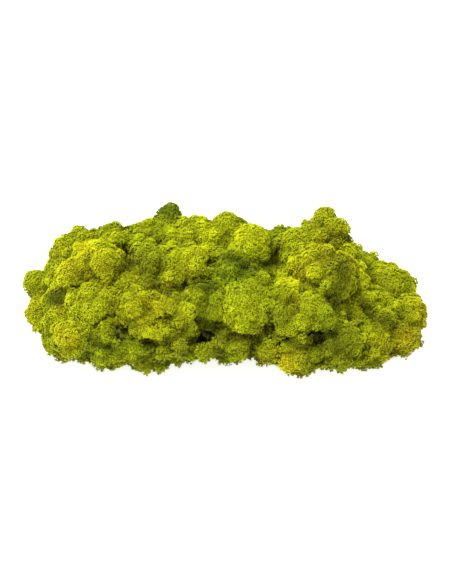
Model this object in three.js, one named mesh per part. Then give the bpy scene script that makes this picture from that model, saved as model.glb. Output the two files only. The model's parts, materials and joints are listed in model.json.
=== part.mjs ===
// Preserved lichen clump: rounded reindeer lichen heads pressed together into one long, loose loaf.
// Units are millimetres. +X runs along the clump, -Y is its front, +Z is up, and it lies on z = 0.
import * as THREE from 'three';
import { ConvexHull } from 'three/addons/math/ConvexHull.js';

// Driving dimensions
const HALF_LENGTH = 125;
const FRONT_DEPTH = 62;
const BACK_DEPTH = 51;
const CROWN_HEIGHT = 74;
const HEAD_GAP = 0.3; // between two heads that touch
const TIP_PITCH = 5.5; // from one branching tip to the next, larger than life
const TIP_HEIGHT = 2.6; // from the valley between tips to their points
const LOBE_PITCH = 12; // from one knob of a head to the next
const LOBE_SPREAD = 0.72; // a knob's half width, as a share of that pitch
const LOBE_RISE = 0.2; // a knob's height, as a share of its head's radius
const HIDDEN_PITCH = 9; // between the corners of a head's hidden, flat sides
const SEATING = 0.82; // how high a head on the ground keeps its centre, as a share of its radius
const FOOT_SIZE = 0.45; // the flat spot that a head on the ground rests on, as a share of its radius
const FOOT_CORNERS = 6;
const ARCH_SLOPE = 0.14; // how the underside rises inwards from the feet
const CORE_HEIGHT = 26; // how high over the ground the upper heads' stalks meet
const CORE_SHRINK = 0.9; // the stalks of the end heads lean towards the middle by this share
const STALK_OVERRUN = 1.4; // how far the stalks run past the clump's middle line, if nothing stops them
const STALK_SHARE = 0.55; // a head shows no tips where it points inwards by more than this cosine
const CORNER_CLEARANCE = 0.2; // the least angle between a tip and a corner of the foot
const PACKING = 0.87; // an evenly spread point's share of the square of its pitch
const LEAST_REACH = 2; // from the middle line to a head's centre, at the least

// The clump's outline seen from the front: how high it is at places along it, as shares of CROWN_HEIGHT.
const CROWN_OUTLINE = [
  [-125, 0.3], [-116, 0.42], [-100, 0.74], [-88, 0.91], [-50, 0.97], [-20, 0.97], [0, 1], [20, 0.97],
  [36, 0.9], [52, 0.92], [62, 1.02], [72, 0.78], [80, 0.53], [92, 0.49], [112, 0.49], [125, 0.3],
];

// The clump's outline seen from above, on its front side, as shares of FRONT_DEPTH.
const FRONT_OUTLINE = [
  [-125, 0.15], [-116, 0.36], [-108, 0.52], [-95, 0.91], [-50, 1], [-15, 0.98], [18, 0.92], [34, 1.02],
  [65, 1.1], [82, 0.88], [105, 0.75], [117, 0.52], [125, 0.2],
];

// Heads on the side that faces the viewer: name, place along the clump, angle around it from the front
// edge (0) over the crown (90) towards the back (180), radius, dye tone, and how far it stands proud.
const FRONT_HEADS = [
  ['left_end_top', -112, 100, 14, 'green', 0],
  ['left_end_low', -110, 24, 16, 'gold', 1],
  ['left_shoulder', -98, 104, 15, 'lime', 0],
  ['left_peak', -88, 112, 14, 'lime', 1],
  ['left_brow', -89, 66, 14, 'gold', -1],
  ['left_crown', -69, 105, 17, 'lime', 2],
  ['left_ball', -72, 70, 15, 'gold', 2],
  ['left_cheek', -100, 36, 14, 'lime', 0],
  ['left_foot', -91, 10, 16, 'gold', 2],
  ['left_toe', -101, -2, 14, 'green', 1],
  ['left_belly', -80, 40, 17, 'lime', 0],
  ['left_skirt', -72, 5, 18, 'green', 1],
  ['upper_left', -47, 108, 17, 'lime', 0],
  ['upper_gold', -23, 104, 17, 'gold', 0],
  ['face_left', -47, 66, 19, 'green', -2],
  ['face_gold', -23, 66, 17, 'lime', -1],
  ['lap_gold', -54, 32, 17, 'gold', 0],
  ['skirt_left', -47, 3, 16, 'lime', 0],
  ['belly_gold', -30, 36, 15, 'gold', 0],
  ['belly_green', -11, 38, 18, 'green', -1],
  ['skirt_mid_left', -28, 8, 18, 'lime', 0],
  ['back_tuft', -37, 116, 13, 'green', 8],
  ['mid_crown', 0, 106, 18, 'lime', 3],
  ['mid_lobe', 19, 92, 16, 'lime', 2],
  ['mid_ridge', 5, 64, 17, 'green', -3],
  ['great_dome', 12, 29, 22, 'lime', 3],
  ['dome_cheek', 35, 33, 16, 'lime', 1],
  ['skirt_ball', -12, 10, 10, 'lime', 5],
  ['skirt_mid', 4, 6, 18, 'lime', 1],
  ['skirt_right', 25, 5, 16, 'lime', 0],
  ['right_crown', 43, 94, 20, 'gold', 1],
  ['right_peak', 61, 102, 17, 'gold', 2],
  ['right_face', 60, 64, 19, 'gold', 0],
  ['right_belly', 53, 37, 16, 'lime', 0],
  ['right_foot', 45, 2, 17, 'gold', 1],
  ['right_shade', 68, 8, 17, 'green', 1],
  ['right_mid', 77, 48, 16, 'green', -1],
  ['east_head', 96, 74, 20, 'lime', 0],
  ['east_back', 85, 104, 14, 'green', 0],
  ['east_top', 107, 112, 14, 'lime', 1],
  ['east_edge', 111, 48, 14, 'gold', 1],
  ['east_brow', 88, 38, 14, 'lime', 4],
  ['east_foot', 89, 0, 15, 'gold', 2],
  ['east_toe', 108, 8, 16, 'gold', 1],
];

// Rows of heads on the far side: name, how many, reach either way along, angle around, radius.
const BACK_ROWS = [
  ['back_upper', 5, 64, 138, 18],
  ['back_middle', 6, 94, 158, 18],
  ['back_low', 5, 82, 184, 20],
];
const BACK_TONES = ['lime', 'gold', 'green', 'lime', 'green', 'gold'];
const BACK_SHIFT = 6; // how far a head on the far side may stray along its row
const BACK_TURN = 10; // and around the clump, in degrees
const BACK_SIZES = [0.94, 1.06]; // and the range of its size

const TONES = {
  lime: { color: 0x93a40e, roughness: 0.95 },
  gold: { color: 0xa9a716, roughness: 0.95 },
  green: { color: 0x6f8a0c, roughness: 0.95 },
};

// A repeatable source of random numbers between 0 and 1.
function seededRandom(seed) {
  let state = seed;
  return () => {
    state = (state + 0x6d2b79f5) | 0;
    let mixed = Math.imul(state ^ (state >>> 15), 1 | state);
    mixed = (mixed + Math.imul(mixed ^ (mixed >>> 7), 61 | mixed)) ^ mixed;
    return ((mixed ^ (mixed >>> 14)) >>> 0) / 4294967296;
  };
}

// The height of an outline, given as [place, height] corners, at one place along it.
function outlineAt(outline, place) {
  const next = outline.findIndex(([corner]) => corner >= place);
  if (next === 0) return outline[0][1];
  if (next < 0) return outline[outline.length - 1][1];
  const [fromPlace, fromHeight] = outline[next - 1];
  const [toPlace, toHeight] = outline[next];
  return THREE.MathUtils.mapLinear(place, fromPlace, toPlace, fromHeight, toHeight);
}

// How deep the clump is behind its middle line, as an oval.
function backDepth(along) {
  return BACK_DEPTH * Math.sqrt(Math.max(1 - (along / HALF_LENGTH) ** 4, 0.05));
}

// A head sits inside the loaf's skin by its own radius, and one on the ground rests on a small flat spot.
function headCentre(along, around, radius, proud) {
  const angle = THREE.MathUtils.degToRad(around);
  const depth = around < 90 ? FRONT_DEPTH * outlineAt(FRONT_OUTLINE, along) : backDepth(along);
  const seat = SEATING * radius;
  const crown = CROWN_HEIGHT * outlineAt(CROWN_OUTLINE, along);
  const rise = Math.max(crown - radius - seat, LEAST_REACH) + proud;
  const reach = Math.max(depth - radius, LEAST_REACH) + proud;
  const height = Math.max(seat + rise * Math.sin(angle), seat);
  return new THREE.Vector3(along, -reach * Math.cos(angle), height);
}

// All the heads, with their centres, and the way inwards along which their stalks run.
function placeHeads() {
  const heads = FRONT_HEADS.map(([name, along, around, radius, tone, proud]) => ({
    name, radius, tone, centre: headCentre(along, around, radius, proud),
  }));
  for (const [rowName, count, reach, around, radius] of BACK_ROWS) {
    const random = seededRandom(count * around);
    for (let i = 0; i < count; i++) {
      const even = THREE.MathUtils.mapLinear(i, 0, count - 1, -reach, reach);
      const along = even + BACK_SHIFT * (random() - 0.5);
      const turned = around + BACK_TURN * (random() - 0.5);
      const size = radius * THREE.MathUtils.lerp(...BACK_SIZES, random());
      const tone = BACK_TONES[(i + count) % BACK_TONES.length];
      heads.push({
        name: `${rowName}_${i + 1}`, radius: size, tone, centre: headCentre(along, turned, size, 0),
      });
    }
  }
  for (const head of heads) {
    const coreHeight = Math.min(head.centre.z, CORE_HEIGHT);
    const core = new THREE.Vector3(CORE_SHRINK * head.centre.x, 0, coreHeight);
    const inward = core.sub(head.centre);
    head.stalkLength = STALK_OVERRUN * inward.length();
    head.inward = inward.normalize();
    head.foot = head.centre.z < head.radius ? FOOT_SIZE * head.radius : 0;
  }
  return heads;
}

// Evenly spread directions over a sphere, turned and nudged a little by the random source.
function spreadDirections(count, nudge, random) {
  const goldenAngle = Math.PI * (3 - Math.sqrt(5));
  const fullTurn = 2 * Math.PI;
  const turn = new THREE.Euler(fullTurn * random(), fullTurn * random(), fullTurn * random());
  const step = nudge * Math.sqrt((4 * Math.PI) / count);
  return Array.from({ length: count }, (_, i) => {
    const height = 1 - (2 * i + 1) / count;
    const ring = Math.sqrt(1 - height * height);
    const direction = new THREE.Vector3(
      ring * Math.cos(goldenAngle * i), ring * Math.sin(goldenAngle * i), height,
    );
    direction.x += step * (random() - 0.5);
    direction.y += step * (random() - 0.5);
    direction.z += step * (random() - 0.5);
    return direction.applyEuler(turn).normalize();
  });
}

// How many points a pitch gives over a whole ball.
function countOnBall(radius, pitch) {
  return Math.ceil((4 * Math.PI * radius * radius) / (PACKING * pitch * pitch));
}

// Distance from a head's centre to its knobbly skin, or to the end of its stalks on the inner side.
function skinRadius(head, direction) {
  const lobeAngle = (LOBE_SPREAD * LOBE_PITCH) / head.radius;
  let knob = 0;
  for (const lobe of head.lobes) {
    const share = direction.angleTo(lobe) / lobeAngle;
    if (share < 1) knob = Math.max(knob, Math.sqrt(1 - share * share));
  }
  const skin = head.radius * (1 - LOBE_RISE + 1.1 * LOBE_RISE * knob);
  const inwards = Math.max(direction.dot(head.inward), 0);
  const body = skin + Math.max(head.stalkLength - skin, 0) * inwards;
  const footReach = Math.hypot(head.foot, head.centre.z);
  const overFoot = head.foot > 0 && -direction.z * footReach > head.centre.z - 0.01;
  return overFoot ? Math.max(body, footReach) : body;
}

// Distance from a head's centre to the nearest flat contact with a neighbour, or with the ground.
function contactRadius(head, direction) {
  let nearest = direction.z < 0 ? head.centre.z / -direction.z : Infinity;
  for (const { normal, distance } of head.contacts) {
    const facing = normal.dot(direction);
    if (facing > 0) nearest = Math.min(nearest, distance / facing);
  }
  return nearest;
}

// Two neighbours meet on the flat circle where their balls cross, each half the gap short of it.
// Inwards from its foot, a head on the ground arches up a little.
function findContacts(head, heads) {
  const contacts = heads.filter((other) => other !== head).map((other) => {
    const normal = other.centre.clone().sub(head.centre);
    const apart = normal.length();
    const crossing = (apart * apart + head.radius ** 2 - other.radius ** 2) / (2 * apart);
    return { normal: normal.divideScalar(apart), distance: crossing - HEAD_GAP / 2 };
  });
  if (head.foot > 0) {
    const normal = new THREE.Vector3(head.inward.x, head.inward.y, 0).setLength(ARCH_SLOPE);
    normal.z = -1;
    const steepness = normal.length();
    const distance = (head.centre.z + ARCH_SLOPE * head.foot) / steepness;
    contacts.push({ normal: normal.divideScalar(steepness), distance });
  }
  return contacts;
}

// The directions from a head's centre to the corners of the flat spot that it rests on.
function footDirections(head) {
  if (head.foot === 0) return [];
  return Array.from({ length: FOOT_CORNERS }, (_, i) => {
    const angle = (2 * Math.PI * i) / FOOT_CORNERS;
    const corner = new THREE.Vector3(Math.cos(angle), Math.sin(angle), 0).multiplyScalar(head.foot);
    return corner.setZ(-head.centre.z).normalize();
  });
}

// A direction shows if the skin there isn't pressed against a neighbour, the ground or the stalks.
function isShown(head, direction) {
  const skin = skinRadius(head, direction);
  const touches = contactRadius(head, direction) < skin - 0.4 * TIP_HEIGHT;
  const overGround = head.centre.z + direction.z * skin > TIP_HEIGHT;
  return !touches && overGround && direction.dot(head.inward) < STALK_SHARE;
}

// The points of one head: tips close together where it shows, a few corners where it is hidden.
function spreadPoints(head, random) {
  const shown = spreadDirections(countOnBall(head.radius, TIP_PITCH), 0.3, random)
    .filter((direction) => isShown(head, direction));
  const foot = footDirections(head);
  const tips = shown.filter((tip) => foot.every((corner) => tip.angleTo(corner) > CORNER_CLEARANCE));
  const taken = [...tips, ...foot];
  const clear = HIDDEN_PITCH / 2 / head.radius;
  const hidden = spreadDirections(countOnBall(head.radius, HIDDEN_PITCH), 0.1, random)
    .filter((direction) => taken.every((corner) => corner.angleTo(direction) > clear));
  return { directions: [...taken, ...hidden], shownCount: tips.length };
}

// One head as a closed mesh: every corner lies at one distance along its own direction from the centre,
// the tips are joined to the valleys between them, and the hidden sides are plain.
function headGeometry(head, random) {
  const { directions, shownCount } = spreadPoints(head, random);
  const corners = directions.map((direction, i) => {
    const ragged = i < shownCount ? 0.25 * TIP_HEIGHT * (random() - 0.5) : 0;
    return cornerAt(head, direction, ragged);
  });
  const triangles = hullTriangles(directions);

  const valleys = new Map();
  triangles.forEach((triangle, i) => {
    if (triangle.some((corner) => corner >= shownCount)) return;
    const middle = new THREE.Vector3();
    for (const corner of triangle) middle.add(directions[corner]);
    middle.normalize();
    valleys.set(i, corners.length);
    directions.push(middle);
    corners.push(cornerAt(head, middle, -TIP_HEIGHT * (0.75 + 0.5 * random())));
  });

  const across = new Map();
  triangles.forEach((triangle, i) => {
    for (let side = 0; side < 3; side++) {
      across.set(`${triangle[side]},${triangle[(side + 1) % 3]}`, i);
    }
  });
  const faces = [];
  triangles.forEach((triangle, i) => {
    const valley = valleys.get(i);
    if (valley === undefined) {
      faces.push(triangle);
      return;
    }
    for (let side = 0; side < 3; side++) {
      const from = triangle[side];
      const to = triangle[(side + 1) % 3];
      const beyond = valleys.get(across.get(`${to},${from}`));
      const opened = beyond !== undefined
        && turnsOutwards(directions, from, beyond, valley) && turnsOutwards(directions, to, valley, beyond);
      faces.push(opened ? [from, beyond, valley] : [from, to, valley]);
    }
  });

  const geometry = new THREE.BufferGeometry();
  const values = corners.flatMap((corner) => corner.toArray());
  geometry.setAttribute('position', new THREE.Float32BufferAttribute(values, 3));
  geometry.setIndex(faces.flat());
  geometry.computeVertexNormals();
  return geometry;
}

// A corner on the skin, raised or sunk, and held short of whatever the head is pressed against.
function cornerAt(head, direction, raised) {
  const distance = Math.min(skinRadius(head, direction) + raised, contactRadius(head, direction));
  return direction.clone().multiplyScalar(distance);
}

// The triangles that join points on a sphere to their nearest neighbours, facing out.
function hullTriangles(directions) {
  const numbers = new Map(directions.map((direction, i) => [direction, i]));
  return new ConvexHull().setFromPoints(directions).faces.map((face) => {
    const edges = [face.edge, face.edge.next, face.edge.next.next];
    return edges.map((edge) => numbers.get(edge.head().point));
  });
}

function turnsOutwards(directions, a, b, c) {
  const normal = directions[b].clone().cross(directions[c]);
  return directions[a].dot(normal) > 1e-4;
}

const heads = placeHeads();
const clump = new THREE.Group();
heads.forEach((head, i) => {
  const random = seededRandom(101 + 17 * i);
  head.contacts = findContacts(head, heads);
  head.lobes = spreadDirections(countOnBall(head.radius, LOBE_PITCH), 0.5, random);
  const mesh = new THREE.Mesh(
    headGeometry(head, random),
    new THREE.MeshStandardMaterial({ ...TONES[head.tone], metalness: 0 }),
  );
  mesh.name = head.name;
  mesh.position.copy(head.centre);
  clump.add(mesh);
});

// The origin is under the middle of the clump's box.
const middle = new THREE.Box3().setFromObject(clump).getCenter(new THREE.Vector3());
clump.position.set(-middle.x, -middle.y, 0);
clump.updateMatrixWorld(true);

export default clump;
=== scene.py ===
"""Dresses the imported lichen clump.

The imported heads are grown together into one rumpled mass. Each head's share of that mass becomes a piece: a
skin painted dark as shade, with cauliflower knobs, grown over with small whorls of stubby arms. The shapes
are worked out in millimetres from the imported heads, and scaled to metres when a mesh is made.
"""

import json
import math
from collections import namedtuple

import bmesh
import bpy
import numpy as np
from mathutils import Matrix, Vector
from mathutils.bvhtree import BVHTree
from mathutils.kdtree import KDTree


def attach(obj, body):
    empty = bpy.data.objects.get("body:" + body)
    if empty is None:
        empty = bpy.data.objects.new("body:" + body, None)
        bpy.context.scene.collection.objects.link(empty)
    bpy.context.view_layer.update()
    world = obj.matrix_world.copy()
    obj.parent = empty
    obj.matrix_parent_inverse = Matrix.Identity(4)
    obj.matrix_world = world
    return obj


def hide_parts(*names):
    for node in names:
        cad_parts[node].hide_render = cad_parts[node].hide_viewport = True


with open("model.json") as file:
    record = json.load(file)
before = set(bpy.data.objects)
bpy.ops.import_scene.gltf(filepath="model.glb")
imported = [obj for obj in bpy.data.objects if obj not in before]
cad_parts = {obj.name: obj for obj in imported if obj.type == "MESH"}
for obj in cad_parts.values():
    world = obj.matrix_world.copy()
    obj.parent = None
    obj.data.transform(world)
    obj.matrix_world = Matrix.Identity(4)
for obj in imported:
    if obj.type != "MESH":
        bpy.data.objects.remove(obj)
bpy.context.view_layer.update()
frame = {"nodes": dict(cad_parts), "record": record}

MM = 0.001

# The photograph's view
PICTURE_SIZE = (452, 584)
PICTURE_HEIGHT_MM = 366.5  # what the picture's long side shows at the clump
CAMERA_ELEVATION = math.radians(35)
LENS_MM = 110
SENSOR_MM = 36
CAMERA_DISTANCE_MM = LENS_MM / SENSOR_MM * PICTURE_HEIGHT_MM
AIM_MM = (0.6, 14.3, 20.5)
SEEN_RANGE = np.arange(-120, 120, 0.5)  # how far before and behind the aim a pixel's ray is followed

# The studio, in metres
WHITE = (1, 1, 1, 1)
FLOOR_SIZE = 8
FLOOR_COLOUR = (0.9, 0.9, 0.9, 1)
FLOOR_GLOW = 0.8  # the photograph's ground is cut out to plain white
SKY_STRENGTH = 0.7
KEY_PLACE = (-0.55, -0.35, 1.6)
KEY_SIZE = 0.9
KEY_WATTS = 57

# Random draws, and noise from tables of random numbers
SEED = 20
DRIFT_SEED = SEED
SPOT_SEED = SEED + 1
BASE_SEED = SEED + 2  # of the first layer of knobs; the next layers take the next seeds
SIZE_SEED = SEED + 5
PROUD_SEED = SEED + 6
NOISE_CELLS = 40
NOISE_ORIGIN = 18  # the cell at the clump's origin
LAST_CELL = 1.001  # keeps a place inside a table's last cell

# Limits of arithmetic
TINY = 1e-12  # the least length that a direction is worked out from
LEAST_FALL = 1e-6  # the least fall in solidity that a surface is looked for in
CORNER_DECIMALS = 3  # corners that agree to these decimals of a millimetre are one

# The mass that the heads grow together into: 1 inside it and 0 outside, on a grid of cells
CELL = 2.0
MASS_MARGIN = 24  # free space round the heads
MASS_SOFTNESS = 3.0
MASS_LEVEL = 0.5  # how solid it is at its surface
CROWD_SOFTNESS = 8.0
BLUR_REACH = 2.5  # how far a value spreads, in widths of the blur
SHAPE_PITCH = 2.0  # of the points that stand for a packed head's surface
FACING_STEP = 1.5  # how far round a place the mass is compared to find which way it faces

# Heads
CANDIDATES = 6  # random points for each square of the pitch, of which about one is kept
NEAR_HEADS = 20  # heads whose boxes lie further apart than this aren't neighbours
FARTHEST = 30.0  # how far away a neighbour is looked for
GROWTH = np.linspace(-8, 7, 15)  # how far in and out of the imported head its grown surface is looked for
LEAST_SHARE = 0.3  # how near to the middle that surface may come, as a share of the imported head's reach
HEAD_GAP = 0.15  # what each head leaves free of the middle between it and its neighbour
WALL_PITCH = 4.0  # of the points of a head's hidden side
EDGE_PITCH = 1.4  # and of those near its edge
EDGE_DEPTH = 5.0  # how deep inside the mass that edge reaches

# Knobs upon knobs: balls, as rows of pitch, least and most radius, the share of the radius that stands out,
# and how far the surface between them rises
KNOB_LAYERS = (
    (14.5, 7.5, 12.0, 0.30, -2.5),
    (8.5, 4.2, 6.2, 0.25, -1.0),
    (5.2, 2.6, 3.6, 0.22, -0.4),
)
# Painted shade in the creases between knobs
CREASE_SHADE = (0.4, 0.3, 0.2)  # how much darker it is between the knobs of each layer
KNOB_REACH = 36  # knobs further than this from a head's middle don't touch it
KNOB_HOLD = 0.6  # how much a knob's surface keeps facing the way it did
SIZE_SPREAD = 0.25  # knobs are larger in some parts of the mass than in others
SIZE_PATCH = 35
PROUD_SPREAD = 0.7  # some parts of the mass are smooth and some are knobbly
PROUD_PATCH = 20
BASE_SPREAD = 0.4  # the surface between knobs rises unevenly
BASE_SIZE = 14
MOST_RISE = 8.0  # a ball that reaches further out than this is left out
LOW_HEIGHTS = (26, 12)  # below the first height the knobs are smaller, fully so at the second
LOW_KNOBS = 0.6  # how large they are there, as a share of their size
POCKET_HEIGHT = 18  # round this height the surface between them lies deeper
POCKET_SPAN = 6
POCKET_RISE = -2.4
FOOT_HEIGHTS = (10, 4)  # below the first height it closes again, fully so at the second
# Painted shade: places that lichen crowds round are painted darker
OPEN_LIGHT = 1.6  # of a place with no lichen round it, before the limits from LEAST_LIGHT to 1
CROWD_SHADE = 1.2  # how much of that light is lost where lichen is all round
LEAST_LIGHT = 0.3

# The skin, its pores, and the whorls of stubby arms that stand on it
SKIN_PITCH = 1.55
SKIN_DEPTH = 1.3  # how far the skin lies below the middles of the whorls' tops
SKIN_SPREAD = 0.15
PORE_PITCH = 6.0
POROUS_PITCH = 3.2
POROUS_HEADS = (
    "great_dome", "dome_cheek", "right_crown", "right_face", "mid_ridge", "east_head", "face_left",
)
PORE_CLEARANCE = 0.7  # from a pore's middle to the nearest whorl
PORE_RIM = 1.5  # where the skin starts to sink into a pore, as a share of that
PORE_DEPTH = 0.8
# Painted shade: the pores are painted darker
PORE_SHADE = 0.8
WHORL_PITCH = 1.45
UNDERSIDE_PITCH = 2.4
UNDERSIDE_FACING = -0.5  # whorls face the ground where they point down more steeply than this
WHORL_SPREAD = 0.12  # how unevenly high whorls stand
WHORL_LEAN = 0.2  # how far they lean at random
UPRIGHT = 0.8  # how much a whorl stands upright on the skin below it
COVERED_DEPTH = 2.5  # how deep between two heads whorls still grow
# Painted shade of the places between two heads
COVERED_LIGHT = 0.5
WHORL_KINDS = 16
WHORL_SIZES = (0.9, 1.2)
ARM_COUNTS = (3, 4, 5)
ARM_SWAY = 0.25  # how far an arm strays, as a share of the angle between two
ARM_REACH = (0.5, 0.8)
ARM_TOP = (-0.3, 0.25)
ARM_THICKNESS = (0.34, 0.46)
ARM_ROOT = (0, 0, -1.5)
# The corners of an arm's end: how far outwards, sideways and up, in thicknesses.
ARM_END = ((1, 0, -0.5), (-0.45, -0.9, 0.3), (-0.45, 0.9, 0.3))
ARM_SIDES = ((0, 2, 1), (0, 3, 2), (0, 1, 3), (1, 2, 3))  # root, then the end's corners
# Painted shade of each arm: dark at its root in the whorl's hole, light at its end's corners
ARM_SHADES = (0.36, 0.86, 0.82, 0.82)
SPRIG_KINDS = 8  # open whorls of longer arms, which stand on a few crests
SPRIG_REACH = (0.9, 1.6)
SPRIG_TOP = (0.6, 2.2)
SPRIG_THICKNESS = (0.24, 0.32)
SPRIG_SHARE = 0.5  # of the whorls where sprigs grow
SPRIG_SLOPE = 2  # how sharply such a place starts at its edge
FLOOR_CLEARANCE = 0.15  # nothing comes closer to the ground

# Forms that the photograph shows, placed at pixels of its frame.
# Lumps: x, y, radius and proud height in millimetres, and dye tone.
LUMPS = (
    (105, 263, 9.0, 6.5, 0.60), (92, 294, 7.5, 2.4, 0.50), (70, 335, 9.5, 4.5, 0.66),
    (39, 314, 9.0, 0.5, 0.60), (212, 240, 7.0, 2.1, 0.60), (225, 226, 9.0, 1.4, 0.52),
    (252, 243, 11.0, 6.0, 0.55), (205, 354, 5.5, 2.4, 0.50), (245, 306, 17.0, 5.0, 0.49),
    (291, 287, 4.5, 2.1, 0.62), (311, 307, 8.5, 2.8, 0.52), (297, 252, 15.0, 2.8, 0.52),
    (325, 218, 7.5, 4.5, 0.42), (392, 288, 13.0, 2.4, 0.50), (405, 338, 9.0, 2.4, 0.68),
    (360, 315, 6.0, 2.4, 0.55), (372, 340, 9.0, 2.4, 0.60), (290, 362, 7.0, 1.8, 0.64),
    (283, 318, 7.0, 1.8, 0.46), (62, 313, 6.5, 5.0, 0.58), (84, 266, 7.0, 1.8, 0.56),
    (185, 312, 7.0, 1.8, 0.58), (146, 322, 7.0, 1.8, 0.58), (237, 345, 6.0, 1.8, 0.50),
    (182, 262, 9.0, 1.8, 0.52), (172, 213, 6.0, 3.5, 0.36), (37, 283, 9.0, 1.2, 0.54),
    (165, 352, 5.0, 1.8, 0.48), (130, 352, 5.5, 1.8, 0.52), (270, 350, 5.5, 1.8, 0.54),
    (318, 352, 6.0, 1.4, 0.50), (405, 272, 9.0, 4.0, 0.50), (415, 288, 9.0, 2.8, 0.52),
)
LUMP_EDGE = 1.2  # how far out a lump's own look reaches, as a share of its radius
LUMP_SLOPE = 4  # how sharply that look starts there
LUMP_SMOOTHNESS = 0.6  # how much fainter the smaller knobs are on a lump
LUMP_TONE = 0.7  # how much of a lump's own dye it takes
# Hollows: radius and depth in millimetres, and the pixels that they run through.
HOLLOWS = (
    (3.0, 7.0, ((128, 250), (128, 259), (125, 270), (118, 280), (109, 290))),
    (1.8, 3.0, ((90, 262), (93, 272), (98, 279))),
    (3.0, 7.5, ((226, 256), (238, 262), (250, 267), (262, 267), (272, 262), (277, 251))),
    (2.2, 4.5, ((210, 258), (210, 268), (211, 278))),
    (2.2, 3.0, ((150, 281), (158, 287), (168, 292))),
    (3.0, 3.5, ((190, 284), (200, 288), (212, 286))),
    (3.6, 4.5, ((48, 290), (56, 297), (64, 303))),
    (2.4, 6.5, ((268, 313), (270, 322), (271, 332))),
    (3.0, 4.5, ((346, 260), (341, 275), (337, 290), (334, 304))),
    (3.2, 8.0, ((363, 307), (375, 317), (392, 327))),
    (3.2, 7.0, ((311, 338), (322, 343))),
    (2.8, 7.5, ((118, 333), (136, 340), (152, 346), (167, 343))),
    (2.6, 7.0, ((186, 352), (196, 344), (210, 336), (229, 338), (250, 336), (262, 340))),
    (1.8, 3.5, ((262, 268), (279, 277))),
    (2.4, 6.5, ((280, 336), (292, 343), (303, 346))),
    (2.6, 7.0, ((88, 336), (98, 343), (112, 349))),
    (2.0, 4.0, ((218, 350), (222, 360))),
)
HOLLOW_STEPS = 5  # places from one of those pixels to the next
HOLLOW_REACH = 1.8  # how far a hollow's sides slope, as a share of its radius
# Painted shade: the hollows' bottoms are painted darker
HOLLOW_SHADE = 0.68  # how much darker its bottom is
# Where sprigs grow: x, y and radius in millimetres.
SPRIGS = (
    (160, 212, 9), (55, 246, 7), (95, 226, 7), (276, 227, 6), (326, 212, 7), (154, 375, 6), (205, 276, 5),
    (345, 275, 7), (104, 334, 6), (341, 350, 8), (36, 272, 6), (236, 278, 6), (128, 352, 6), (200, 350, 6),
)
# Patches: x, y, radius in millimetres, what they add to the dye tone, and by what share to the painted light
# and shade.
PATCHES = (
    (45, 258, 10, 0.04, 0.12), (55, 297, 7, -0.16, -0.40), (30, 325, 6, 0.10, 0.05),
    (70, 340, 7, 0.12, -0.05), (92, 245, 7, 0.12, 0.00), (98, 325, 6, 0.12, 0.00),
    (105, 345, 12, 0.00, 0.12), (140, 266, 10, 0.03, -0.22), (166, 210, 8, -0.20, -0.50),
    (172, 232, 6, 0.18, 0.05), (160, 232, 8, -0.02, 0.12), (173, 290, 10, -0.05, -0.15),
    (207, 288, 8, -0.14, -0.15), (240, 246, 6, 0.14, 0.10), (235, 272, 12, -0.18, 0.05),
    (268, 302, 7, -0.12, 0.05), (205, 316, 6, -0.10, 0.05), (274, 226, 5, -0.25, -0.45),
    (341, 270, 9, -0.14, -0.30), (340, 345, 11, -0.06, -0.32), (345, 216, 6, -0.08, 0.00),
    (207, 345, 10, -0.05, -0.15), (172, 347, 10, 0.00, -0.20), (245, 345, 9, 0.00, -0.12),
    (306, 347, 9, 0.00, -0.32), (400, 318, 9, -0.10, -0.30), (325, 362, 7, -0.15, -0.20),
    (360, 348, 8, 0.14, 0.12), (405, 335, 6, 0.18, 0.00), (290, 364, 7, 0.15, 0.15),
    (120, 345, 7, -0.12, -0.05), (425, 310, 5, -0.06, 0.00), (62, 264, 5, -0.08, 0.00),
    (122, 280, 13, 0.00, -0.20), (295, 218, 10, 0.00, 0.20), (156, 255, 13, 0.00, -0.14),
    (392, 280, 14, 0.00, -0.16), (400, 340, 10, 0.00, -0.16), (224, 245, 11, 0.00, 0.25),
    (28, 335, 8, 0.00, 0.25), (322, 304, 9, 0.00, 0.25), (88, 282, 8, 0.00, -0.12),
    (190, 307, 10, 0.00, 0.50), (228, 306, 12, 0.03, 0.20), (122, 308, 10, 0.00, -0.12),
    (28, 262, 8, 0.00, 0.20), (300, 320, 10, 0.00, -0.10), (130, 232, 12, -0.03, 0.15),
    (375, 265, 10, 0.00, 0.15), (240, 312, 12, -0.02, 0.18), (254, 241, 10, 0.00, 0.22),
)

# Dye and painted shade, kept in each corner's map coordinates: a tone, from green at 0 to orange at 1, and a
# shade, from the roots' colour at 0 to the tips' at 1, which holds both the dye's change from root to tip and
# painted light and shade
MAP_NAME = "OFBake"
MAP_LIMITS = (0.01, 0.99)
MAP_JITTER = 0.006  # how far the corners of a whorl stray from its tone
TONES = {"lichen_green": 0.38, "lichen_lime": 0.48, "lichen_gold": 0.58}
TONE_BLEND = 9.0  # how far the tones of two heads run into each other
DRIFT_SIZE = 20  # the tone drifts over the clump, with smaller spots, and from whorl to whorl
DRIFT_TONE = 0.13
SPOT_SIZE = 6
SPOT_TONE = 0.08
WHORL_TONE = 0.04
# Painted shade of the skin between the whorls, and darker still between two heads
SKIN_SHADE = 0.38
WALL_SHADE = 0.05  # of the skin between two heads
TIP_DYES = (
    (0.00, (0.130, 0.230, 0.002)),
    (0.25, (0.320, 0.430, 0.002)),
    (0.50, (0.580, 0.650, 0.003)),
    (0.75, (0.800, 0.720, 0.005)),
    (1.00, (0.700, 0.440, 0.006)),
)
# The roots' own browner dye, darkened further with painted shade
SHADED_ROOT_DYES = (
    (0.00, (0.012, 0.020, 0.001)),
    (0.50, (0.040, 0.042, 0.001)),
    (1.00, (0.060, 0.034, 0.001)),
)
ROUGHNESS = 0.8
SPECULAR = 0.12

# Points of one head: where each starts on the mass, where it ends up, which way it faces and its light
Points = namedtuple("Points", "start place facing light")
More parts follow.
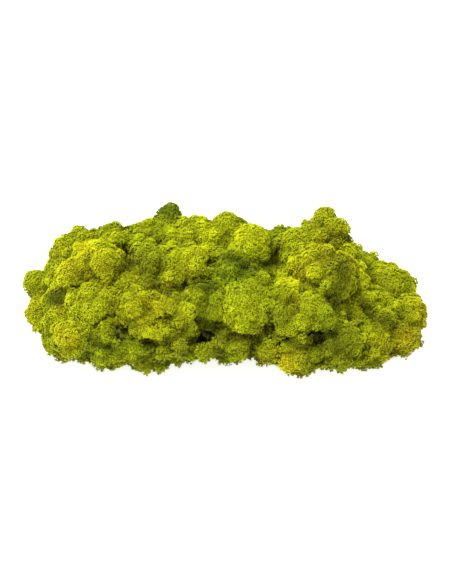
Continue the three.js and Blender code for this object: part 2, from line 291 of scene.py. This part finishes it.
# A layer of knobs: their centres and radii, how far the surface between them rises, and a usual knob's top
Layer = namedtuple("Layer", "centres radii base top")


def unit(vectors):
    return vectors / np.maximum(np.linalg.norm(vectors, axis=-1, keepdims=True), TINY)


def between(height, start, end):
    """From 0 at the starting height to 1 at the end."""
    return np.clip((height - start) / (end - start), 0, 1)


def gaps_between(points, others):
    """The distance from every point to each of the others."""
    squared = (points**2).sum(axis=1)[:, None] + (others**2).sum(axis=1) - 2 * points @ others.T
    return np.sqrt(np.maximum(squared, 0))


def weighed(table, spots):
    """The values of a 3-D table at places between its cells."""
    spots = np.clip(spots, 0, np.array(table.shape) - LAST_CELL)
    cell = spots.astype(int)
    part = spots - cell
    total = np.zeros(len(spots))
    for corner in np.ndindex(2, 2, 2):
        share = np.prod(np.where(corner, part, 1 - part), axis=1)
        total += share * table[tuple((cell + corner).T)]
    return total


def wander(points, size, seed):
    """Smooth noise between -1 and 1 that changes over about size millimetres."""
    table = np.random.default_rng(seed).uniform(-1, 1, (NOISE_CELLS, NOISE_CELLS, NOISE_CELLS))
    return weighed(table, points / size + NOISE_ORIGIN)


def blurred(table, width):
    """The table with each value spread over its neighbours."""
    reach = math.ceil(BLUR_REACH * width)
    steps = np.arange(-reach, reach + 1)
    shares = np.exp(-0.5 * (steps / width) ** 2)
    for axis in range(3):
        table = sum(share * np.roll(table, step, axis) for step, share in zip(steps, shares / shares.sum()))
    return table


def tree_of(points):
    tree = KDTree(len(points))
    for i, point in enumerate(points.tolist()):
        tree.insert(point, i)
    tree.balance()
    return tree


def nearest_gaps(points, others):
    """How far each point is from the nearest of the others."""
    tree = tree_of(others)
    return np.array([tree.find(point)[2] for point in points.tolist()])


def well_spread(points, pitch, taken=(), clearance=0):
    """Picks points, in their order, at least pitch apart and clearance from the points taken before."""
    tree = tree_of(points)
    pitches = np.broadcast_to(pitch, len(points)).tolist()
    free = bytearray(b"\x01" * len(points))
    for point in taken:
        for _, other, _ in tree.find_range(point, clearance):
            free[other] = 0
    kept = []
    for i, point in enumerate(points.tolist()):
        if free[i]:
            kept.append(i)
            for _, other, _ in tree.find_range(point, pitches[i]):
                free[other] = 0
    return np.array(kept, int)


def scattered(corners, triangles, pitch, rng):
    """Random places on a surface: the three corners round each of them and how much each corner counts."""
    a, b, c = (corners[triangles[:, i]] for i in range(3))
    areas = np.linalg.norm(np.cross(b - a, c - a), axis=1) / 2
    count = int(CANDIDATES * areas.sum() / pitch**2)
    chosen = rng.choice(len(areas), count, p=areas / areas.sum())
    return triangles[chosen], rng.dirichlet((1, 1, 1), count)[:, :, None]


def joined(meshes):
    """Several meshes as one: their corners, and their triangles numbered to match."""
    starts = np.cumsum([0] + [len(corners) for corners, _ in meshes])
    triangles = [triangles + start for (_, triangles), start in zip(meshes, starts)]
    return np.concatenate([corners for corners, _ in meshes]), np.concatenate(triangles)


def solid_of(node):
    """The corners of a packed head in millimetres, each once, and its triangles."""
    mesh = frame["nodes"][node].data
    corners = np.empty(len(mesh.vertices) * 3, np.float32)
    mesh.vertices.foreach_get("co", corners)
    used = np.empty(len(mesh.loops), np.int32)
    mesh.loops.foreach_get("vertex_index", used)
    rounded = np.round(corners.reshape(-1, 3).astype(float) / MM, CORNER_DECIMALS)
    places, spot = np.unique(rounded, axis=0, return_inverse=True)
    return places, spot.reshape(-1)[used].reshape(-1, 3)


class Head:
    """One packed head of the clump."""

    def __init__(self, node, slot):
        self.node = node
        self.slot = slot
        self.places, self.triangles = solid_of(node)
        self.low = self.places.min(axis=0)
        self.high = self.places.max(axis=0)
        self.centre = self.places.mean(axis=0)

    def find_near(self, heads):
        """Keeps the surfaces of the heads round this one."""
        near = [
            other for other in heads
            if other is not self
            and np.maximum(self.low - other.high, other.low - self.high).max() < NEAR_HEADS
        ]
        corners, triangles = joined([(other.places, other.triangles) for other in near])
        self.near = BVHTree.FromPolygons(corners.tolist(), triangles.tolist())

    def scatter(self, pitch, rng):
        """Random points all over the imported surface."""
        spots, shares = scattered(self.places, self.triangles, pitch, rng)
        return (self.places[spots] * shares).sum(axis=1)

    def room_beyond(self, places, ways):
        """How far it is from each place, along its way, to the next head."""
        room = np.full(len(places), 2 * FARTHEST)
        for i, (place, way) in enumerate(zip(places.tolist(), ways.tolist())):
            hit = self.near.ray_cast(place, way, FARTHEST)[3]
            if hit is not None:
                room[i] = hit
        return room

    def grown(self, pitch, mass, rng):
        """Random points on the head's share of the mass, which way each faces, and how deep inside it is."""
        start = self.scatter(pitch, rng)
        reach = np.linalg.norm(start - self.centre, axis=1)
        way = (start - self.centre) / reach[:, None]
        room = self.room_beyond(start, way)
        away = np.maximum(reach[:, None] + GROWTH, LEAST_SHARE * reach[:, None])
        solid = mass.at((self.centre + away[:, :, None] * way[:, None]).reshape(-1, 3)).reshape(away.shape)
        outside = solid < MASS_LEVEL
        outside[:, -1] = True
        first = np.maximum(outside.argmax(axis=1), 1)
        row = np.arange(len(start))
        before, after = solid[row, first - 1], solid[row, first]
        share = np.clip((before - MASS_LEVEL) / np.maximum(before - after, LEAST_FALL), 0, 1)
        surface = away[row, first - 1] + share * (away[row, first] - away[row, first - 1])
        limit = reach + room / 2 - HEAD_GAP
        place = self.centre + np.minimum(surface, limit)[:, None] * way
        return place, mass.facing(place), np.maximum(surface - limit, 0)


class Mass:
    """How solid the clump is at each place once its heads have grown together, and how crowded."""

    def __init__(self, heads, rng):
        self.low = np.min([head.low for head in heads], axis=0) - MASS_MARGIN
        high = np.max([head.high for head in heads], axis=0) + MASS_MARGIN
        solid = np.zeros(np.ceil((high - self.low) / CELL).astype(int) + 1)
        for head in heads:
            self.fill(solid, head, rng)
        self.solid = blurred(solid, MASS_SOFTNESS / CELL)
        self.crowd = blurred(solid, CROWD_SOFTNESS / CELL)

    def fill(self, solid, head, rng):
        """Marks the cells inside a packed head as solid."""
        first = np.floor((head.low - self.low) / CELL).astype(int)
        last = np.ceil((head.high - self.low) / CELL).astype(int) + 1
        block = tuple(slice(*ends) for ends in zip(first, last))
        cells = np.stack(np.mgrid[block], axis=-1).reshape(-1, 3)
        away = cells * CELL + self.low - head.centre
        shape = head.scatter(SHAPE_PITCH, rng) - head.centre
        tree = tree_of(unit(shape))
        nearest = [tree.find(way)[1] for way in unit(away).tolist()]
        depth = np.linalg.norm(shape[nearest], axis=1) - np.linalg.norm(away, axis=1)
        filled = np.clip(depth / CELL + 0.5, 0, 1).reshape(solid[block].shape)
        solid[block] = np.maximum(solid[block], filled)

    def at(self, places):
        return weighed(self.solid, (places - self.low) / CELL)

    def crowd_at(self, places):
        return weighed(self.crowd, (places - self.low) / CELL)

    def facing(self, places):
        steps = FACING_STEP * np.eye(3)
        return unit(np.stack([self.at(places - step) - self.at(places + step) for step in steps], axis=1))

    def seen_at(self, x, y):
        """The place on the mass that a pixel of the photograph shows, and the way the camera looks at it."""
        pixel = PICTURE_HEIGHT_MM / PICTURE_SIZE[1]
        right = np.array([1, 0, 0])
        up = np.array([0, math.sin(CAMERA_ELEVATION), math.cos(CAMERA_ELEVATION)])
        aim = np.array(AIM_MM)
        eye = aim + CAMERA_DISTANCE_MM * np.cross(right, up)
        target = aim + (x - PICTURE_SIZE[0] / 2) * pixel * right + (PICTURE_SIZE[1] / 2 - y) * pixel * up
        way = unit(target - eye)
        along = target + SEEN_RANGE[:, None] * way
        return along[(self.at(along) > MASS_LEVEL).argmax()], way


def reach_out(points, ways, centres, radii):
    """How far each point moves along its way to the outermost ball round it, and that ball's number."""
    along = (points * ways).sum(axis=1)[:, None] - ways @ centres.T
    inside = along**2 - gaps_between(points, centres) ** 2 + radii**2
    reach = np.where(inside > 0, np.sqrt(np.maximum(inside, 0)) - along, -np.inf)
    reach = np.where(reach < MOST_RISE, reach, -np.inf)
    return reach.max(axis=1), reach.argmax(axis=1)


class Relief:
    """The knobs, lumps and hollows of the mass, its dye, and its painted light and shade."""

    def __init__(self, heads, mass, rng):
        self.mass = mass
        self.head_centres = np.array([head.centre for head in heads])
        self.head_tones = np.array([TONES[head.slot] for head in heads])
        self.place_patches()
        self.place_hollows()
        self.place_lumps()
        self.layers = []
        for sizes in KNOB_LAYERS:
            self.add_layer(heads, rng, *sizes)

    def place_patches(self):
        """Finds the patches, and the places where sprigs grow."""
        rows = np.array([(*self.mass.seen_at(x, y)[0], *facts) for x, y, *facts in PATCHES])
        self.patch_places = rows[:, :3]
        self.patch_radii, self.patch_tones, self.patch_lights = rows[:, 3:].T
        rows = np.array([(*self.mass.seen_at(x, y)[0], radius) for x, y, radius in SPRIGS])
        self.sprig_places, self.sprig_radii = rows[:, :3], rows[:, 3]

    def place_hollows(self):
        """Finds places along the hollows."""
        rows = []
        for radius, depth, pixels in HOLLOWS:
            for start, end in zip(pixels, pixels[1:]):
                for x, y in np.linspace(start, end, HOLLOW_STEPS):
                    rows.append((*self.mass.seen_at(x, y)[0], radius, depth))
        rows = np.array(rows)
        self.hollow_places = rows[:, :3]
        self.hollow_radii, self.hollow_depths = rows[:, 3:].T

    def place_lumps(self):
        """Finds the lumps: balls, each sunk along the camera's way until it is as proud as it should be."""
        places, ways = zip(*(self.mass.seen_at(x, y) for x, y, *_ in LUMPS))
        self.lump_radii, proud, self.lump_tones = np.array(LUMPS)[:, 2:].T
        self.lump_centres = np.array(places) + (self.lump_radii - proud)[:, None] * np.array(ways)

    def add_layer(self, heads, rng, pitch, least, most, proud, base):
        """Adds knobs on top of the layers before. The first layer also holds the lumps."""
        centres = [] if self.layers else list(self.lump_centres)
        radii = [] if self.layers else list(self.lump_radii)
        for head in heads:
            place, facing, depth = head.grown(pitch, self.mass, rng)
            place, facing, _ = self.raised(place[depth == 0], facing[depth == 0])
            small = 1 - (1 - LOW_KNOBS) * between(place[:, 2], *LOW_HEIGHTS)
            kept = well_spread(place, pitch * small)
            size = rng.uniform(least, most, len(kept)) * small[kept]
            size *= 1 + SIZE_SPREAD * wander(place[kept], SIZE_PATCH, SIZE_SEED)
            share = proud * (1 + PROUD_SPREAD * wander(place[kept], PROUD_PATCH, PROUD_SEED))
            centres += list(place[kept] - ((1 - share) * size)[:, None] * facing[kept])
            radii += list(size)
        self.layers.append(Layer(np.array(centres), np.array(radii), base, proud * (least + most) / 2))

    def raised(self, place, facing):
        """The points moved out to the knobs, which way each then faces, and its painted light: 1 in the open.
        """
        middle = place.mean(axis=0)
        sunk = self.sunk_at(place)
        light = self.open_light(place) * (1 - HOLLOW_SHADE * np.sqrt(sunk.max(axis=1)))
        smoothness = 0
        for number, layer in enumerate(self.layers):
            near = np.linalg.norm(layer.centres - middle, axis=1) < KNOB_REACH + layer.radii
            low = self.base_at(place, number)
            reach, ball = reach_out(place, facing, layer.centres[near], layer.radii[near])
            on_ball = reach > low
            rise = np.where(on_ball, reach, low) * (1 - LUMP_SMOOTHNESS * smoothness)
            place = place + rise[:, None] * facing
            outwards = unit(place - layer.centres[near][ball])
            facing = np.where(on_ball[:, None], unit(outwards + KNOB_HOLD * facing), facing)
            light *= 1 - CREASE_SHADE[number] * np.clip((layer.top - rise) / (layer.top - low), 0, 1)
            if number == 0:
                place = place - (sunk * self.hollow_depths).max(axis=1)[:, None] * facing
                smoothness = self.on_lumps(place).max(axis=1)
        return place, facing, light

    def sunk_at(self, place):
        """How fully each place lies in each hollow, from 0 to 1."""
        gaps = gaps_between(place, self.hollow_places)
        return np.clip(1 - (gaps / (HOLLOW_REACH * self.hollow_radii)) ** 2, 0, 1) ** 2

    def open_light(self, place):
        """How much light reaches each place through the lichen round it, painted into its colour."""
        light = np.clip(OPEN_LIGHT - CROWD_SHADE * self.mass.crowd_at(place), LEAST_LIGHT, 1)
        return light * (1 + self.patched(place, self.patch_lights))

    def base_at(self, place, number):
        """How far the surface between the knobs of a layer rises at each place."""
        low = self.layers[number].base * (1 + BASE_SPREAD * wander(place, BASE_SIZE, BASE_SEED + number))
        if number == 0:
            low += POCKET_RISE * np.exp(-(((place[:, 2] - POCKET_HEIGHT) / POCKET_SPAN) ** 2))
            low *= 1 - between(place[:, 2], *FOOT_HEIGHTS)
        return low

    def on_lumps(self, place):
        """How fully each place lies on each lump, from 0 to 1."""
        gaps = gaps_between(place, self.lump_centres) / self.lump_radii
        return np.clip(LUMP_SLOPE * (LUMP_EDGE - gaps), 0, 1)

    def patched(self, place, amounts):
        """What the patches add to the tone or the light at each place."""
        share = np.exp(-((gaps_between(place, self.patch_places) / self.patch_radii) ** 2))
        return share @ amounts

    def sprigged(self, place):
        """How fully each place lies where sprigs grow, from 0 to 1."""
        gaps = gaps_between(place, self.sprig_places) / self.sprig_radii
        return np.clip(SPRIG_SLOPE * (1 - gaps.min(axis=1)), 0, 1)

    def tone_at(self, place):
        """The dye tone at each place: each head's own, run together at its edges, with patches and lumps."""
        gaps = gaps_between(place, self.head_centres)
        share = np.exp(-(gaps - gaps.min(axis=1, keepdims=True)) / TONE_BLEND)
        tone = (share * self.head_tones).sum(axis=1) / share.sum(axis=1)
        mottling = DRIFT_TONE * wander(place, DRIFT_SIZE, DRIFT_SEED)
        mottling += SPOT_TONE * wander(place, SPOT_SIZE, SPOT_SEED)
        tone += mottling
        share = self.on_lumps(place)
        lump = self.lump_tones[share.argmax(axis=1)]
        return tone + LUMP_TONE * share.max(axis=1) * (lump - tone) + self.patched(place, self.patch_tones)


def wrapped(directions):
    """Triangles that join points on a ball into one closed skin."""
    mesh = bmesh.new()
    for direction in directions:
        mesh.verts.new(direction)
    mesh.verts.index_update()
    bmesh.ops.convex_hull(mesh, input=mesh.verts)
    triangles = np.array([[corner.index for corner in face.verts] for face in mesh.faces])
    mesh.free()
    a, b, c = (directions[triangles[:, i]] for i in range(3))
    inwards = (np.cross(b - a, c - a) * a).sum(axis=1) < 0
    triangles[inwards] = triangles[inwards][:, ::-1]
    return triangles


def make_whorl(rng, reach=ARM_REACH, top=ARM_TOP, thickness=ARM_THICKNESS):
    """Stubby arms that fan out round a hole, as at the ends of this lichen: corners, triangles and painted
    shades.
    """
    corners, triangles, shades = [], [], []
    first = rng.uniform(0, 2 * math.pi)
    count = rng.choice(ARM_COUNTS)
    up = np.array([0, 0, 1])
    for i in range(count):
        angle = first + 2 * math.pi * (i + rng.uniform(-ARM_SWAY, ARM_SWAY)) / count
        outwards = np.array([math.cos(angle), math.sin(angle), 0])
        sideways = np.cross(up, outwards)
        end = rng.uniform(*reach) * outwards + rng.uniform(*top) * up
        thick = rng.uniform(*thickness)
        triangles += [[len(corners) + corner for corner in side] for side in ARM_SIDES]
        corners.append(np.array(ARM_ROOT))
        for out, across, rise in ARM_END:
            corners.append(end + thick * (out * outwards + across * sideways + rise * up))
        shades += ARM_SHADES
    return np.array(corners), np.array(triangles), np.array(shades)


def frames_along(ways, rng):
    """A random set of axes for each direction, with its z along it."""
    side = unit(np.cross(ways, unit(rng.normal(size=ways.shape))))
    return np.stack([side, np.cross(ways, side), ways], axis=2)


def picked(points, which):
    return Points(*(values[which] for values in points))


def together(*sets):
    return Points(*(np.concatenate(values) for values in zip(*sets)))


def edge_points(start, facing, relief):
    """Points just between a head and its neighbours. They sink with the hollows there, but carry no knobs."""
    raised, _, light = relief.raised(start, facing)
    drop = np.minimum(((raised - start) * facing).sum(axis=1), 0)
    return Points(start, start + drop[:, None] * facing, facing, COVERED_LIGHT * light)


def skin_points(knobs, pores, rng):
    """Points of the skin below the knobs' surface, and the skin's shade there."""
    skin = picked(knobs, well_spread(knobs.place, SKIN_PITCH))
    porous = np.clip(PORE_RIM - nearest_gaps(skin.place, pores) / PORE_CLEARANCE, 0, 1)
    sunk = SKIN_DEPTH + PORE_DEPTH * porous + SKIN_SPREAD * rng.normal(size=len(porous))
    shade = SKIN_SHADE * skin.light * (1 - PORE_SHADE * porous)
    return skin._replace(place=skin.place - sunk[:, None] * skin.facing), shade


def flank_points(skin, triangles, rng):
    """Random places for whorls over the skin's triangles, which also cover steep flanks and creases."""
    spots, shares = scattered(skin.place, triangles, WHORL_PITCH, rng)
    a, b, c = (skin.place[spots[:, i]] for i in range(3))
    way = unit((skin.facing[spots] * shares).sum(axis=1) + UPRIGHT * unit(np.cross(b - a, c - a)))
    place = (skin.place[spots] * shares).sum(axis=1)
    return Points(place, place + SKIN_DEPTH * way, way, (skin.light[spots] * shares[:, :, 0]).sum(axis=1))


def planted(whorls, stands, relief, rng):
    """Whorls that stand at these points, as meshes with dye and painted-shade coordinates, one for each kind
    of whorl.
    """
    many = len(stands.place)
    end = stands.place + WHORL_SPREAD * rng.normal(size=(many, 1)) * stands.facing
    axes = frames_along(unit(stands.facing + WHORL_LEAN * rng.normal(size=(many, 3))), rng)
    size = rng.uniform(*WHORL_SIZES, many)
    tone = relief.tone_at(end) + WHORL_TONE * rng.normal(size=many)
    kind = rng.integers(WHORL_KINDS, size=many)
    sprig_kind = rng.integers(WHORL_KINDS, len(whorls), size=many)
    kind = np.where(rng.random(many) < SPRIG_SHARE * relief.sprigged(end), sprig_kind, kind)
    for number, (corners, triangles, shades) in enumerate(whorls):
        mine = np.flatnonzero(kind == number)
        scaled = corners[None] * size[mine, None, None]
        turned = np.einsum("nij,nkj->nki", axes[mine], scaled) + end[mine, None]
        numbered = triangles[None] + len(corners) * np.arange(len(mine))[:, None, None]
        across = tone[mine, None] + rng.uniform(-MAP_JITTER, MAP_JITTER, (len(mine), len(corners)))
        dye_and_shade = np.stack([across, shades[None] * stands.light[mine, None]], axis=2)
        yield turned.reshape(-1, 3), numbered.reshape(-1, 3), dye_and_shade.reshape(-1, 2)


def grow_head(head, whorls, mass, relief, rng):
    """The corners, triangles and coordinates of dye and painted shade of one head's piece."""
    start, facing, depth = head.grown(WHORL_PITCH, mass, rng)
    at_edge = np.flatnonzero((depth > 0) & (depth < EDGE_DEPTH))
    at_edge = at_edge[well_spread(start[at_edge], EDGE_PITCH)]
    edge = edge_points(start[at_edge], facing[at_edge], relief)
    in_wall = np.flatnonzero(depth >= EDGE_DEPTH)
    in_wall = in_wall[well_spread(start[in_wall], WALL_PITCH)]
    wall = Points(start[in_wall], start[in_wall], facing[in_wall], np.zeros(len(in_wall)))
    shown = depth == 0
    knobs = Points(start[shown], *relief.raised(start[shown], facing[shown]))
    pore_pitch = POROUS_PITCH if head.node in POROUS_HEADS else PORE_PITCH
    pores = knobs.place[well_spread(knobs.place, pore_pitch)]

    top, shade = skin_points(knobs, pores, rng)
    skin = together(top, edge, wall)
    triangles = wrapped(unit(skin.start - head.centre))
    shade = np.concatenate([shade, np.full(len(at_edge) + len(in_wall), WALL_SHADE)])
    parts = [(skin.place, triangles, np.stack([relief.tone_at(skin.place), shade], axis=1))]

    depths = np.concatenate([np.zeros(len(top.place)), depth[at_edge], depth[in_wall]])
    uncovered = triangles[(depths < COVERED_DEPTH)[triangles].all(axis=1)]
    stands = together(knobs, flank_points(skin, uncovered, rng))
    pitch = np.where(stands.facing[:, 2] < UNDERSIDE_FACING, UNDERSIDE_PITCH, WHORL_PITCH)
    stands = picked(stands, well_spread(stands.place, pitch, pores, PORE_CLEARANCE))
    parts += planted(whorls, stands, relief, rng)

    corners, triangles = joined([part[:2] for part in parts])
    corners[:, 2] = np.maximum(corners[:, 2], FLOOR_CLEARANCE)
    return corners, triangles, np.clip(np.concatenate([part[2] for part in parts]), *MAP_LIMITS)


def make_mesh(name, corners, triangles, dye_and_shade):
    mesh = bpy.data.meshes.new(name)
    mesh.vertices.add(len(corners))
    mesh.vertices.foreach_set("co", (corners * MM).astype(np.float32).ravel())
    mesh.loops.add(triangles.size)
    mesh.loops.foreach_set("vertex_index", triangles.astype(np.int32).ravel())
    mesh.polygons.add(len(triangles))
    mesh.polygons.foreach_set("loop_start", np.arange(0, triangles.size, 3, dtype=np.int32))
    mesh.polygons.foreach_set("use_smooth", np.ones(len(triangles), bool))
    mesh.update(calc_edges=True)
    layer = mesh.uv_layers.new(name=MAP_NAME)
    layer.uv.foreach_set("vector", dye_and_shade[triangles.ravel()].astype(np.float32).ravel())
    piece = bpy.data.objects.new(name, mesh)
    bpy.context.scene.collection.objects.link(piece)
    return piece


def add_ramp(nodes, stops):
    ramp = nodes.new("ShaderNodeValToRGB")
    elements = ramp.color_ramp.elements
    while len(elements) < len(stops):
        elements.new(0.5)
    for element, (at, colour) in zip(elements, stops):
        element.position = at
        element.color = (*colour, 1)
    return ramp


def make_lichen(slot):
    """Dyed lichen: the map's first axis is the dye tone and its second runs from the roots to the tips, with
    painted light and shade.
    """
    material = bpy.data.materials.new(slot)
    material.use_nodes = True
    nodes, links = material.node_tree.nodes, material.node_tree.links
    shader = nodes["Principled BSDF"]
    where = nodes.new("ShaderNodeUVMap")
    where.uv_map = MAP_NAME
    split = nodes.new("ShaderNodeSeparateXYZ")
    links.new(where.outputs["UV"], split.inputs["Vector"])
    tips = add_ramp(nodes, TIP_DYES)
    roots = add_ramp(nodes, SHADED_ROOT_DYES)
    links.new(split.outputs["X"], tips.inputs["Fac"])
    links.new(split.outputs["X"], roots.inputs["Fac"])
    mix = nodes.new("ShaderNodeMix")
    mix.data_type = "RGBA"
    links.new(split.outputs["Y"], mix.inputs["Factor"])
    links.new(roots.outputs["Color"], mix.inputs["A"])
    links.new(tips.outputs["Color"], mix.inputs["B"])
    links.new(mix.outputs["Result"], shader.inputs["Base Color"])
    shader.inputs["Roughness"].default_value = ROUGHNESS
    shader.inputs["Specular IOR Level"].default_value = SPECULAR
    return material


def make_floor():
    bpy.ops.mesh.primitive_plane_add(size=FLOOR_SIZE)
    floor = bpy.context.object
    floor.name = "floor"
    material = bpy.data.materials.new("floor")
    material.use_nodes = True
    shader = material.node_tree.nodes["Principled BSDF"]
    shader.inputs["Base Color"].default_value = FLOOR_COLOUR
    shader.inputs["Roughness"].default_value = 1
    shader.inputs["Specular IOR Level"].default_value = 0
    shader.inputs["Emission Color"].default_value = WHITE
    shader.inputs["Emission Strength"].default_value = FLOOR_GLOW
    floor.data.materials.append(material)


def make_key_light():
    light = bpy.data.lights.new("key", "AREA")
    light.shape = "DISK"
    light.size = KEY_SIZE
    light.energy = KEY_WATTS
    lamp = bpy.data.objects.new("key", light)
    lamp.location = KEY_PLACE
    lamp.rotation_euler = (-Vector(KEY_PLACE)).to_track_quat("-Z", "Y").to_euler()
    bpy.context.scene.collection.objects.link(lamp)


def make_camera():
    back = Vector((0, -math.cos(CAMERA_ELEVATION), math.sin(CAMERA_ELEVATION)))
    camera = bpy.data.objects.new("camera", bpy.data.cameras.new("camera"))
    camera.data.lens = LENS_MM
    camera.data.sensor_width = SENSOR_MM
    camera.location = Vector(AIM_MM) * MM + CAMERA_DISTANCE_MM * MM * back
    camera.rotation_euler = (-back).to_track_quat("-Z", "Y").to_euler()
    bpy.context.scene.collection.objects.link(camera)
    bpy.context.scene.camera = camera


def make_surroundings():
    scene = bpy.context.scene
    scene.view_settings.view_transform = "Standard"
    scene.world = bpy.data.worlds.new("studio")
    scene.world.use_nodes = True
    sky = scene.world.node_tree.nodes["Background"]
    sky.inputs["Color"].default_value = WHITE
    sky.inputs["Strength"].default_value = SKY_STRENGTH
    make_floor()
    make_key_light()


make_camera()
make_surroundings()

rng = np.random.default_rng(SEED)
whorls = [make_whorl(rng) for _ in range(WHORL_KINDS)]
whorls += [make_whorl(rng, SPRIG_REACH, SPRIG_TOP, SPRIG_THICKNESS) for _ in range(SPRIG_KINDS)]
slots = {row["node"]: row["material_slot"] for row in frame["record"]["subparts"]}
lichens = {slot: make_lichen(slot) for slot in sorted(set(slots.values()))}
heads = [Head(node, slots[node]) for node in frame["nodes"]]
for head in heads:
    head.find_near(heads)
mass = Mass(heads, rng)
relief = Relief(heads, mass, rng)
triangle_count = 0
for number, head in enumerate(heads):
    corners, triangles, dye_and_shade = grow_head(head, whorls, mass, relief, np.random.default_rng((SEED, number)))
    triangle_count += len(triangles)
    piece = make_mesh("lichen_" + head.node, corners, triangles, dye_and_shade)
    piece.data.materials.append(lichens[head.slot])
    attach(piece, "root")
    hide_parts(head.node)
print("triangles", triangle_count)
